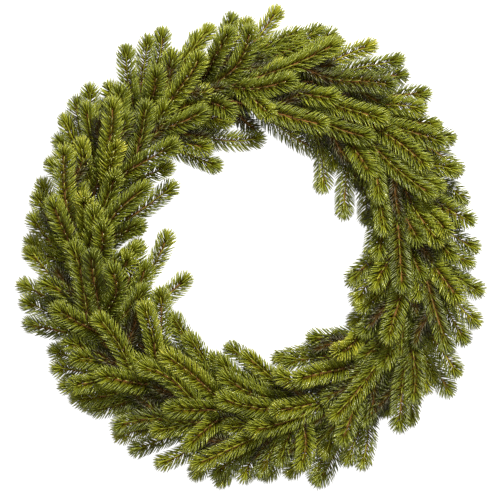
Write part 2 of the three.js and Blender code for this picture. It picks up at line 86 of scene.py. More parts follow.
# The sprays, four to a clamp, clockwise from the top and in each clamp from the inner rail out.
# A spray lists its twigs, the leader first: tip x, tip y, heading and layer.
SPRAYS = (
    ((154, 138, 100, TOP), (122, 169, 90, MID), (90, 71, 187, LOW)),
    ((171, 160, 105, TOP), (112, 188, 92, TOP)),
    ((182, 202, 100, TOP), (102, 260, 55, MID), (118, 265, 52, LOW)),
    ((200, 220, 85, LOW), (194, 240, 75, LOW), (160, 259, 72, LOW)),
    ((159, 56, 178, TOP), (118, 38, 180, LOW), (152, 87, 152, TOP), (164, 16, 180, TOP)),
    ((229, 65, 122, TOP), (184, 106, 130, MID), (241, 75, 108, TOP)),
    ((222, 98, 135, TOP), (244, 131, 110, TOP), (219, 172, 110, MID)),
    ((266, 94, 133, LOW), (259, 138, 100, LOW), (239, 153, 100, MID), (228, 194, 95, LOW)),
    ((188, -54, 175, TOP), (152, -15, 185, MID)),
    ((238, 5, 140, TOP), (212, 5, 150, TOP), (219, -38, 145, MID)),
    ((256, -15, 140, MID), (229, 33, 145, MID), (243, 20, 150, FACE)),
    ((288, 0, 115, LOW), (281, 33, 115, MID), (272, 56, 140, LOW)),
    ((167, -116, 198, TOP), (125, -44, 223, LOW), (131, -75, 240, MID)),
    ((188, -146, 180, MID), (210, -65, 180, TOP)),
    ((246, -127, 160, TOP), (262, -66, 142, TOP)),
    ((289, -95, 130, LOW), (281, -21, 125, LOW), (295, -54, 113, LOW), (271, -119, 152, LOW)),
    ((70, -110, 272, LOW), (129, -135, 255, MID), (104, -122, 285, FACE)),
    ((98, -212, 225, TOP), (157, -149, 225, MID), (141, -221, 197, MID)),
    ((201, -190, 187, TOP), (184, -225, 183, TOP), (221, -181, 172, LOW)),
    ((253, -184, 150, LOW), (262, -160, 150, LOW), (201, -221, 182, LOW)),
    ((52, -162, 252, TOP), (38, -143, 255, LOW), (30, -148, 305, TOP)),
    ((-5, -223, 262, TOP), (29, -197, 273, FACE)),
    ((110, -242, 203, TOP), (45, -284, 225, LOW)),
    ((81, -296, 215, LOW), (118, -270, 205, LOW), (138, -275, 198, LOW)),
    ((-38, -151, 308, TOP), (-32, -119, 300, LOW), (-41, -133, 320, MID)),
    ((-43, -180, 290, TOP), (-36, -221, 268, MID)),
    ((-74, -266, 250, TOP), (58, -273, 205, TOP)),
    ((-41, -296, 215, LOW), (15, -288, 218, LOW), (-9, -292, 195, LOW)),
    ((-112, -126, 300, TOP), (-101, -78, 325, LOW), (-152, -133, 295, MID)),
    ((-108, -196, 272, TOP), (-90, -174, 285, MID), (-141, -144, 278, TOP)),
    ((-82, -246, 228, TOP), (-125, -225, 260, MID), (-172, -222, 248, MID)),
    ((-151, -253, 250, LOW), (-119, -269, 252, LOW), (-72, -288, 212, LOW), (-172, -235, 253, LOW)),
    ((-133, -62, 340, TOP), (-112, -45, 355, MID)),
    ((-191, -152, 288, TOP), (-193, -79, 315, TOP)),
    ((-225, -134, 272, MID), (-235, -111, 292, MID), (-221, -165, 275, FACE)),
    ((-250, -147, 276, LOW), (-240, -168, 280, LOW), (-215, -194, 262, LOW)),
    ((-102, 26, 15, LOW), (-75, -30, 45, LOW), (-179, -47, 345, MID)),
    ((-195, 2, 358, TOP), (-176, -15, 329, TOP)),
    ((-246, -68, 305, TOP), (-222, 12, 338, TOP), (-265, -41, 280, MID)),
    ((-292, -40, 297, LOW), (-288, -62, 292, LOW), (-284, -90, 286, LOW), (-281, 4, 318, LOW)),
    ((-91, 85, 50, LOW), (-129, 33, 72, MID), (-136, 9, 42, MID), (-152, 0, 2, MID)),
    ((-122, 81, 54, TOP), (-165, 94, 20, FACE), (-184, 39, 352, TOP), (-195, 57, 350, TOP)),
    ((-228, 131, 5, TOP), (-206, 67, 350, FACE), (-212, 85, 0, MID), (-247, 66, 336, TOP)),
    ((-262, 91, 345, LOW), (-278, 19, 335, LOW), (-275, 47, 330, LOW), (-268, 75, 339, LOW)),
    ((-86, 134, 59, TOP), (-128, 186, 5, TOP)),
    ((-150, 171, 25, TOP), (-160, 137, 28, TOP), (-160, 207, 5, MID)),
    ((-169, 188, 0, TOP), (-210, 140, 355, MID), (-205, 185, 350, MID), (-200, 210, 0, LOW)),
    ((-234, 171, 340, LOW), (-255, 115, 320, LOW), (-244, 145, 322, LOW), (-216, 195, 3, LOW)),
    ((-51, 175, 59, TOP), (-35, 102, 112, LOW), (19, 142, 79, LOW)),
    ((-58, 245, 28, TOP), (-106, 188, 2, MID), (-48, 202, 52, MID)),
    ((-45, 282, 42, LOW), (-97, 252, 3, MID), (-62, 275, 22, LOW), (-116, 229, 0, TOP)),
    ((-109, 280, 5, LOW), (-178, 212, 345, LOW), (-155, 258, 0, LOW), (-126, 271, 10, LOW)),
    ((98, 152, 102, TOP), (-17, 165, 124, TOP), (99, 121, 110, LOW)),
    ((112, 258, 60, TOP), (25, 165, 140, FACE), (58, 212, 72, TOP)),
    ((0, 279, 4, TOP), (9, 219, 62, MID), (44, 235, 45, MID)),
    ((38, 305, 34, LOW), (-21, 275, 32, TOP), (-20, 298, 20, LOW), (2, 291, 33, LOW)),
)

# Sprigs that shine out as this year's growth, by the place of the tip.
FRESH_TIPS = {(-160, 137), (104, -122), (-112, -126), (29, -197), (-206, 67)}

CLAMP_COUNT = 14
LANES = 4
RAIL_RADII = (190.0, 218.0)
RAIL_WIRE = 3.0
CLAMP_WIRE = 2.4
CLAMP_FLOOR = 3.8
CLAMP_ROOF = 9.9
CLAMP_HALF_WIDTH = 16.0
CLAMP_MOUTH = 2.0
CLAMP_BEND = 2.4
STEM_HEIGHT = 6.35
LANE_WIDTH = 5.5
STEM_TAIL = 12.0
STEM_NOSE = 7.0
CROWN = 10.0
FORK_REACH = 95.0
FORK_RANGE = (0.16, 0.62)
FORK_STEPS = 12
FORK_ANGLES = (38.0, 75.0)
FORK_ASIDE = 0.05
LEADER_HANDLES = (0.36, 0.42)
LEADER_RADII = (1.8, 0.9)
SIDE_HANDLES = (0.3, 0.42)
SIDE_RADII = (1.2, 0.8)
CURVE_STEPS = 200
TWIG_ROOM = 4.5
SAME_ROOM = 1e-6  # rooms that differ by less are the same
TWIG_SAMPLES = 24
LIFTS = (0, 3, -3, 6, -6, 9, -9, 12, -12, 15, -15, 18, -18, 21, 24, 27, 30)
LOWEST_TIP = 19.0
HEIGHT_PLAY = 6.0
PITCH_PLAY = 5.0
LAYOUT_SEED = 2024
DRAW_FACTOR = 48271
DRAW_SPAN = 2147483647

# Twigs that fill the foliage between those of the solids: tip x, tip y, heading and layer.
INFILL = (
    (94, 279, 63, LOW), (72, 262, 62, LOW), (-95, 107, 66, LOW), (-252, -122, 296, LOW),
    (-170, -204, 262, LOW), (172, -210, 175, LOW), (124, -96, 228, LOW), (105, 98, 178, LOW),
    (147, 30, 180, LOW), (-52, -128, 318, LOW), (-128, -42, 30, LOW), (-130, -12, 10, LOW),
    (32, -270, 208, LOW), (92, -262, 200, LOW), (232, -168, 158, LOW), (-20, 160, 100, LOW),
    (70, 272, 80, LOW), (112, 271, 78, LOW), (-139, 14, 5, LOW), (-131, 30, 80, LOW),
    (-230, -15, 320, LOW), (-100, -90, 325, LOW), (130, -70, 205, LOW), (122, -45, 215, LOW),
    (-48, -285, 222, LOW), (10, -285, 205, LOW), (79, -292, 200, LOW), (-225, -184, 270, LOW),
    (-202, -200, 262, LOW), (262, 97, 108, LOW), (27, -138, 258, LOW), (-12, -128, 305, LOW),
    (280, -42, 105, LOW), (-46, 126, 100, LOW), (192, 48, 160, MID), (205, -120, 178, MID),
    (228, -18, 150, MID), (158, -14, 188, MID), (152, -52, 200, MID), (135, -108, 222, MID),
    (88, -190, 240, MID), (-82, -104, 318, LOW),
)

# Short shoots in the shade of the twigs.
SHOOT_FIRST = 14.0  # from the twig's root
SHOOT_LAST = 52.0  # from the twig's end
SHOOT_STEP = 19.0
SHOOT_LENGTHS = (52.0, 68.0)
SHOOT_ANGLES = (26.0, 44.0)
SHOOT_WIDER = 12.0  # how much wider the shoot leaves its twig
SHOOT_CLOSER = 14.0  # how much closer to the twig's heading it ends
SHOOT_PITCH = -20.0
SHOOT_DROPS = (6.0, 20.0)
SHOOT_LOWEST = 15.0
SHOOT_RADII = (1.0, 0.8)
SHOOT_RING = (146.0, 268.0)

FLOOR_SKIN = 0.3  # nothing comes nearer to the floor than this
CREASE = 60.0  # degrees past which an edge is sharp
CAP_RISE = 0.5  # height of a tube's end, as a share of its radius
NEEDLE_SIDES = 3
NEEDLE_MAPS = ("OFBake", "growth")
RATE_STEPS = 500
MAP_MARGIN = 0.05
MAP_RINGS = 0.94
MAP_TIP = 0.98
MAP_WIDTH = 0.02
MAP_CORNERS = np.array([[0.5, 1], [0, 0], [1, 0]]) * MAP_WIDTH
NOISE_DETAIL = 3.0


def unit(vectors: np.ndarray) -> np.ndarray:
    """Scales vectors to length one.

    Args:
        vectors: one vector, or an array with the vectors along its last axis.

    Returns:
        The same directions with length one.
    """
    return vectors / np.maximum(np.linalg.norm(vectors, axis=-1, keepdims=True), TINY)


def bearing(heading: float, pitch: float = 0.0) -> np.ndarray:
    """The direction of a compass heading, seen from the front, raised by a pitch.

    In words: sine and cosine of the heading across and up the face, both shortened by the
    cosine of the pitch, and the sine of the pitch out of the face.

    Args:
        heading: degrees clockwise from the top.
        pitch: degrees out of the face.

    Returns:
        A vector of length one.
    """
    turn, rise = np.radians([heading, pitch])
    return np.array([np.sin(turn) * np.cos(rise), np.cos(turn) * np.cos(rise), np.sin(rise)])


def ease(value: np.ndarray, low: float, high: float) -> np.ndarray:
    """Rises smoothly from 0 at `low` to 1 at `high`: three times the square of the share less
    twice its cube.

    Args:
        value: numbers to grade.
        low: where the rise starts.
        high: where it ends.

    Returns:
        Numbers from 0 to 1.
    """
    share = np.clip((np.asarray(value, float) - low) / (high - low), 0, 1)
    return share * share * (3 - 2 * share)


def grown(value: np.ndarray, share: float, low: float, high: float) -> np.ndarray:
    """Rises smoothly from `share` at `low` to 1 at `high`."""
    return share + (1 - share) * ease(value, low, high)


def placed(name: str, data: bpy.types.ID) -> bpy.types.Object:
    """Puts a mesh, a light or a camera into the scene, at the origin.

    Args:
        name: the object's name.
        data: what it shows.

    Returns:
        The object.
    """
    made = bpy.data.objects.new(name, data)
    bpy.context.scene.collection.objects.link(made)
    return made


@dataclass
class Draws:
    """A generator that multiplies its state by a factor and keeps the remainder, the same one
    that the solids' layout uses."""

    state: int

    def within(self, reach: float) -> float:
        """Returns the next number between minus and plus `reach`."""
        self.state = self.state * DRAW_FACTOR % DRAW_SPAN
        return (2 * self.state / DRAW_SPAN - 1) * reach


@dataclass
class Cubic:
    """A cubic curve, drawn by four corner points."""

    corners: np.ndarray
    lengths: np.ndarray = field(init=False)

    def __post_init__(self) -> None:
        """Measures the curve in short straight steps."""
        path = self.point(np.linspace(0, 1, CURVE_STEPS + 1))
        steps = np.linalg.norm(np.diff(path, axis=0), axis=1)
        self.lengths = np.concatenate([[0], np.cumsum(steps)])

    @property
    def length(self) -> float:
        """Length of the whole curve."""
        return float(self.lengths[-1])

    def point(self, t: np.ndarray) -> np.ndarray:
        """Points on the curve: the corners weighted by the four cubic terms of t and 1 less t.

        Args:
            t: curve parameters from 0 to 1.

        Returns:
            One point for each parameter.
        """
        t = np.atleast_1d(t)[:, None]
        s = 1 - t
        a, b, c, d = self.corners
        return s**3 * a + 3 * s * s * t * b + 3 * s * t * t * c + t**3 * d

    def tangent(self, t: np.ndarray) -> np.ndarray:
        """Directions of the curve: the legs between the corners weighted by three terms.

        Args:
            t: curve parameters from 0 to 1.

        Returns:
            One vector of length one for each parameter.
        """
        t = np.atleast_1d(t)[:, None]
        s = 1 - t
        first, second, third = np.diff(self.corners, axis=0)
        return unit(s * s * first + 2 * s * t * second + t * t * third)

    def parameter(self, distance: np.ndarray) -> np.ndarray:
        """Curve parameters at distances along the curve from its start."""
        return np.interp(distance, self.lengths, np.linspace(0, 1, len(self.lengths)))


@dataclass(frozen=True)
class Tip:
    """Where a twig ends and which way it points there."""

    point: np.ndarray
    direction: np.ndarray
    fresh: bool
    layer: Layer

    @classmethod
    def of(cls, listed: tuple, play: tuple[float, float], lift: float) -> "Tip":
        """A tip as it is listed, with its own small differences.

        Args:
            listed: x, y, heading and layer.
            play: difference in height and in pitch.
            lift: how far it is raised to clear other wood.

        Returns:
            The tip.
        """
        x, y, heading, layer = listed
        height, pitch, _ = layer.value
        point = np.array([x, y, max(height + play[0] + lift, LOWEST_TIP)])
        return cls(point, bearing(heading, pitch + play[1]), (x, y) in FRESH_TIPS, layer)

    @property
    def wood(self) -> np.ndarray:
        """The end of the wood, behind the last needles."""
        return self.point - self.direction * CROWN


@dataclass
class Twig:
    """A shoot: its start, its tip, the curve between them and its thickness at both ends."""

    start: np.ndarray
    leaving: np.ndarray
    tip: Tip
    handles: tuple[float, float]
    radii: tuple[float, float]
    curve: Cubic = field(init=False)

    def __post_init__(self) -> None:
        """Lays the curve: its handles are shares of the distance from start to end."""
        wood = self.tip.wood
        reach = float(np.linalg.norm(wood - self.start))
        self.curve = Cubic(np.array([
            self.start,
            self.start + self.leaving * self.handles[0] * reach,
            wood - self.tip.direction * self.handles[1] * reach,
            wood,
        ]))

    def samples(self) -> np.ndarray:
        """Points along the wood at equal steps of the parameter."""
        return self.curve.point(np.linspace(0, 1, TWIG_SAMPLES + 1))


@dataclass
class Wood:
    """The wood laid so far, as straight rods, for the room between one spray and the next."""

    starts: np.ndarray = field(default_factory=lambda: np.zeros((0, 3)))
    runs: np.ndarray = field(default_factory=lambda: np.zeros((0, 3)))
    sizes: np.ndarray = field(default_factory=lambda: np.zeros(0))

    def add(self, twig: Twig) -> None:
        """Adds a twig's wood.

        Args:
            twig: a twig that has found its place.
        """
        points = twig.samples()
        runs = np.diff(points, axis=0)
        radii = np.interp(np.arange(TWIG_SAMPLES), [0, TWIG_SAMPLES], twig.radii)
        self.starts = np.vstack([self.starts, points[:-1]])
        self.runs = np.vstack([self.runs, runs])
        self.sizes = np.append(self.sizes, np.linalg.norm(runs, axis=1) / 2 + radii)

    def room(self, twig: Twig) -> float:
        """Smallest distance from a twig's points to this wood.

        Args:
            twig: the twig that is being laid.

        Returns:
            The distance, or infinity where no wood is near.
        """
        if not len(self.starts):
            return np.inf
        points = twig.samples()[:, None]
        offset = points - self.starts
        share = np.clip((offset * self.runs).sum(2) / (self.runs**2).sum(1), 0, 1)
        distance = np.linalg.norm(offset - share[..., None] * self.runs, axis=2)
        centre = np.linalg.norm(offset - self.runs / 2, axis=2)
        return float(np.where(centre <= self.sizes + TWIG_ROOM, distance, np.inf).min())


@dataclass
class SprayPlan:
    """One spray: its number, its cut stem, its twigs with the leader first, and the short shoots
    in the shade of the twigs."""

    number: int
    tail: np.ndarray
    nose: np.ndarray
    twigs: list[Twig]
    shoots: list[Twig]


@dataclass
class Layout:
    """Works out the twigs of all sprays by the rule that the solids follow."""

    wood: Wood = field(default_factory=Wood)
    draws: Draws = field(default_factory=lambda: Draws(LAYOUT_SEED))
    fine: np.random.Generator = field(default_factory=lambda: np.random.default_rng(LAYOUT_SEED))

    def side_twig(self, leader: Twig, tip: Tip) -> Twig:
        """A side twig, forked off its leader at the place nearest to its tip run straight back.

        Args:
            leader: the twig that carries it.
            tip: where it ends.

        Returns:
            The twig.
        """
        back = tip.point - tip.direction * FORK_REACH
        places = np.linspace(*FORK_RANGE, FORK_STEPS + 1)
        distances = np.linalg.norm(leader.curve.point(places) - back, axis=1)
        place = float(places[np.argmin(distances)])
        fork = leader.curve.point(place)[0]
        along = leader.curve.tangent(place)[0]
        towards = unit(tip.wood - fork)
        aside = towards - along * towards.dot(along)
        if np.linalg.norm(aside) < FORK_ASIDE:
            aside = np.cross(along, UP)
        angle = np.radians(np.clip(np.degrees(np.arccos(towards.dot(along))), *FORK_ANGLES))
        leaving = along * np.cos(angle) + unit(aside) * np.sin(angle)
        return Twig(fork, leaving, tip, SIDE_HANDLES, SIDE_RADII)

    def lay(self, listed: tuple, play: tuple[float, float], make: Callable[[Tip], Twig]) -> Twig:
        """Lays a twig, its tip lifted or lowered until it is clear of the wood laid before it.

        Args:
            listed: the tip as it is listed.
            play: its own small differences.
            make: makes the twig that ends at a tip.

        Returns:
            The first twig with room, or else the first of those that have the most.
        """
        best, most = None, -np.inf
        for lift in LIFTS:
            twig = make(Tip.of(listed, play, lift))
            room = self.wood.room(twig)
            if best is None or room > most + SAME_ROOM:
                best, most = twig, room
            if room >= TWIG_ROOM:
                break
        return best

    def spray(self, number: int, tips: Sequence[tuple]) -> SprayPlan:
        """Lays one spray.

        Args:
            number: its place in the list, from 0.
            tips: its tips as they are listed.

        Returns:
            The spray.
        """
        clamp, lane = divmod(number, LANES)
        heading = 360 * clamp / CLAMP_COUNT
        along = bearing(heading + 90)
        radius = sum(RAIL_RADII) / 2 + (lane - (LANES - 1) / 2) * LANE_WIDTH
        held = bearing(heading) * radius + UP * STEM_HEIGHT
        nose = held + along * STEM_NOSE
        plays = [(self.draws.within(HEIGHT_PLAY), self.draws.within(PITCH_PLAY)) for _ in tips]
        rise = bearing(heading + 90, tips[0][3].value[2])
        leader = self.lay(
            tips[0], plays[0], lambda tip: Twig(nose, rise, tip, LEADER_HANDLES, LEADER_RADII)
        )
        sides = [
            self.lay(tip, play, lambda end: self.side_twig(leader, end))
            for tip, play in zip(tips[1:], plays[1:])
        ]
        twigs = [leader, *sides]
        for twig in twigs:
            self.wood.add(twig)
        shoots = [shoot for twig in twigs for shoot in self.shoots(twig)]
        return SprayPlan(number + 1, held - along * STEM_TAIL, nose, twigs, shoots)

    def shoots(self, twig: Twig) -> list[Twig]:
        """Short shoots that fork off a twig by turns to its left and right, a little below it.

        Args:
            twig: the twig that carries them.

        Returns:
            Those that stay within the ring of foliage.
        """
        kept = []
        places = np.arange(twig.curve.length - SHOOT_LAST, SHOOT_FIRST, -SHOOT_STEP)
        for number, distance in enumerate(places):
            t = twig.curve.parameter(distance)
            fork, along = twig.curve.point(t)[0], twig.curve.tangent(t)[0]
            heading = np.degrees(np.arctan2(along[0], along[1]))
            side = -1 if number % 2 else 1
            length = self.fine.uniform(*SHOOT_LENGTHS)
            turned = heading + side * self.fine.uniform(*SHOOT_ANGLES)
            end = fork + bearing(turned) * length
            end[2] = max(fork[2] - self.fine.uniform(*SHOOT_DROPS), SHOOT_LOWEST)
            radius = float(np.hypot(*end[:2]))
            if not SHOOT_RING[0] < radius < SHOOT_RING[1]:
                continue
            tip = Tip(end, bearing(turned - side * SHOOT_CLOSER), False, LOW)
            leaving = bearing(turned + side * SHOOT_WIDER, SHOOT_PITCH)
            kept.append(Twig(fork, leaving, tip, SIDE_HANDLES, SHOOT_RADII))
        return kept

    def infill(self, plans: list[SprayPlan]) -> None:
        """Adds the twigs between those of the solids, each to the leader nearest behind its tip.

        Args:
            plans: the sprays, which get the twigs.
        """
        places = np.linspace(*FORK_RANGE, FORK_STEPS + 1)
        forks = np.array([plan.twigs[0].curve.point(places) for plan in plans])
        for listed in INFILL:
            tip = Tip.of(listed, (0, 0), 0)
            back = tip.point - tip.direction * FORK_REACH
            nearest = int(np.linalg.norm(forks - back, axis=2).min(1).argmin())
            leader = plans[nearest].twigs[0]
            twig = self.lay(listed, (0, 0), lambda end: self.side_twig(leader, end))
            self.wood.add(twig)
            plans[nearest].twigs.append(twig)
            plans[nearest].shoots.extend(self.shoots(twig))

    def sprays(self) -> list[SprayPlan]:
        """Lays all sprays, one after the other, and fills in between them.

        Returns:
            The sprays in the order of the list.
        """
        plans = [self.spray(number, tips) for number, tips in enumerate(SPRAYS)]
        self.infill(plans)
        return plans


@dataclass
class Surface:
    """A closed mesh as arrays, in millimetres from the ring's centre.

    Each point has a place on the piece's own map. Faces are quads and triangles that share points.
    """

    points: np.ndarray
    places: np.ndarray
    quads: np.ndarray
    triangles: np.ndarray

    @classmethod
    def joined(cls, parts: Sequence["Surface"]) -> "Surface":
        """Puts several surfaces into one, with their faces renumbered.

        Args:
            parts: the surfaces.

        Returns:
            One surface that holds them all.
        """
        counts = [len(part.points) for part in parts]
        offsets = np.concatenate([[0], np.cumsum(counts[:-1])]).astype(int)
        return cls(
            np.vstack([part.points for part in parts]),
            np.vstack([part.places for part in parts]),
            np.vstack([part.quads + o for part, o in zip(parts, offsets)]),
            np.vstack([part.triangles + o for part, o in zip(parts, offsets)]),
        )

    def piece(self, name: str, slot: str, nodes: Iterable[str], finish: bpy.types.Material,
              crease: Optional[float] = None,
              maps: Sequence[str] = ("growth",)) -> bpy.types.Object:
        """Makes the surface a piece of the object, placed in the frame.

        Args:
            name: the piece's name.
            slot: the name of a material slot; not used.
            nodes: the solids that it stands for.
            finish: its material.
            crease: angle in degrees past which an edge is sharp, or None for none.
            maps: the names under which it brings its places.

        Returns:
            The piece, which rides on the object's one body.
        """
        low, high = (np.array(corner) for corner in CAD_BOX)
        low = low + np.array([0, 0, FLOOR_SKIN]) * MILLIMETRE
        place = np.clip(self.points * MILLIMETRE + ring_centre(), low, high)
        mesh = bpy.data.meshes.new(name)
        mesh.vertices.add(len(place))
        mesh.vertices.foreach_set("co", place.astype(np.float32).ravel())
        corners = np.concatenate([self.quads.ravel(), self.triangles.ravel()]).astype(np.int32)
        sizes = np.concatenate([np.full(len(self.quads), 4), np.full(len(self.triangles), 3)])
        mesh.loops.add(len(corners))
        mesh.loops.foreach_set("vertex_index", corners)
        mesh.polygons.add(len(sizes))
        firsts = np.concatenate([[0], np.cumsum(sizes)[:-1]]).astype(np.int32)
        mesh.polygons.foreach_set("loop_start", firsts)
        mesh.polygons.foreach_set("use_smooth", np.ones(len(sizes), bool))
        for layer in maps:
            spread = self.places[corners].astype(np.float32).ravel()
            mesh.uv_layers.new(name=layer).data.foreach_set("uv", spread)
        mesh.materials.append(finish)
        mesh.update()
        mesh.validate()
        if crease is not None:
            mesh.set_sharp_from_angle(angle=np.radians(crease))
        piece = placed(name, mesh)
        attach(piece, "root")
        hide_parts(*nodes)
        log.info("%s: %d faces", name, len(sizes))
        return piece


def ring_centre() -> np.ndarray:
    """The middle of the wire ring on the surface it lies on, in the frame, in metres."""
    low, high = (np.array(corner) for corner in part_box("ring_frame"))
    return np.array([(low[0] + high[0]) / 2, (low[1] + high[1]) / 2, 0])


def tube(path: np.ndarray, radii: np.ndarray, reference: np.ndarray, sides: int,
         closed: bool = False) -> Surface:
    """A round section carried along a path.

    In words: each ring lies round its point of the path, square to the path's direction there,
    at the cosine of the angle along the part of the reference that is square to the path, and
    at the sine of the angle along the third direction. Open ends are closed with one point.

    Args:
        path: the points of the path, at least three.
        radii: the radius at each point, or at each point and side.
        reference: a direction that the path never runs along.
        sides: corners of the section.
        closed: whether the path's end joins its start.

    Returns:
        The surface, mapped with half of one less the angle's cosine across, and with the share
        of the path upwards.
    """
    count = len(path)
    ahead = np.roll(path, -1, 0) - np.roll(path, 1, 0)
    if not closed:
        ahead[0], ahead[-1] = path[1] - path[0], path[-1] - path[-2]
    along = unit(ahead)
    over = unit(reference - along * (along @ reference)[:, None])
    across = np.cross(along, over)
    angle = np.arange(sides) * 2 * np.pi / sides
    radii = np.broadcast_to(np.asarray(radii, float).reshape(count, -1), (count, sides))
    out = over[:, None] * np.cos(angle)[None, :, None] + across[:, None] * np.sin(angle)[None, :, None]
    points = (path[:, None] + out * radii[..., None]).reshape(-1, 3)
    share = np.linspace(0, 1, count)
    wheel = (0.5 - 0.5 * np.cos(angle)) * (1 - 2 * MAP_MARGIN) + MAP_MARGIN
    places = np.stack(np.broadcast_arrays(wheel[None], share[:, None]), -1).reshape(-1, 2)
    grid = np.arange(count * sides).reshape(count, sides)
    if closed:
        grid = np.vstack([grid, grid[:1]])
    back, front = grid[:-1], grid[1:]
    quads = np.stack([back, np.roll(back, -1, 1), np.roll(front, -1, 1), front], -1).reshape(-1, 4)
    if closed:
        return Surface(points, places, quads, np.zeros((0, 3), int))
    first, last = grid[0], grid[-1]
    ends = np.array([path[0], path[-1] + along[-1] * radii[-1].mean() * CAP_RISE])
    points = np.vstack([points, ends])
    places = np.vstack([places, [[0.5, 0], [0.5, 1]]])
    poles = np.full(sides, len(points) - 2), np.full(sides, len(points) - 1)
    caps = np.vstack([
        np.stack([np.roll(first, -1), first, poles[0]], -1),
        np.stack([last, np.roll(last, -1), poles[1]], -1),
    ])
    return Surface(points, places, quads, caps)


@dataclass(frozen=True)
class Growth:
    """How a twig stands at the roots of its needles: arrays with one row for each needle."""

    back: np.ndarray
    centre: np.ndarray
    along: np.ndarray
    outwards: np.ndarray
    topness: np.ndarray
    radius: np.ndarray


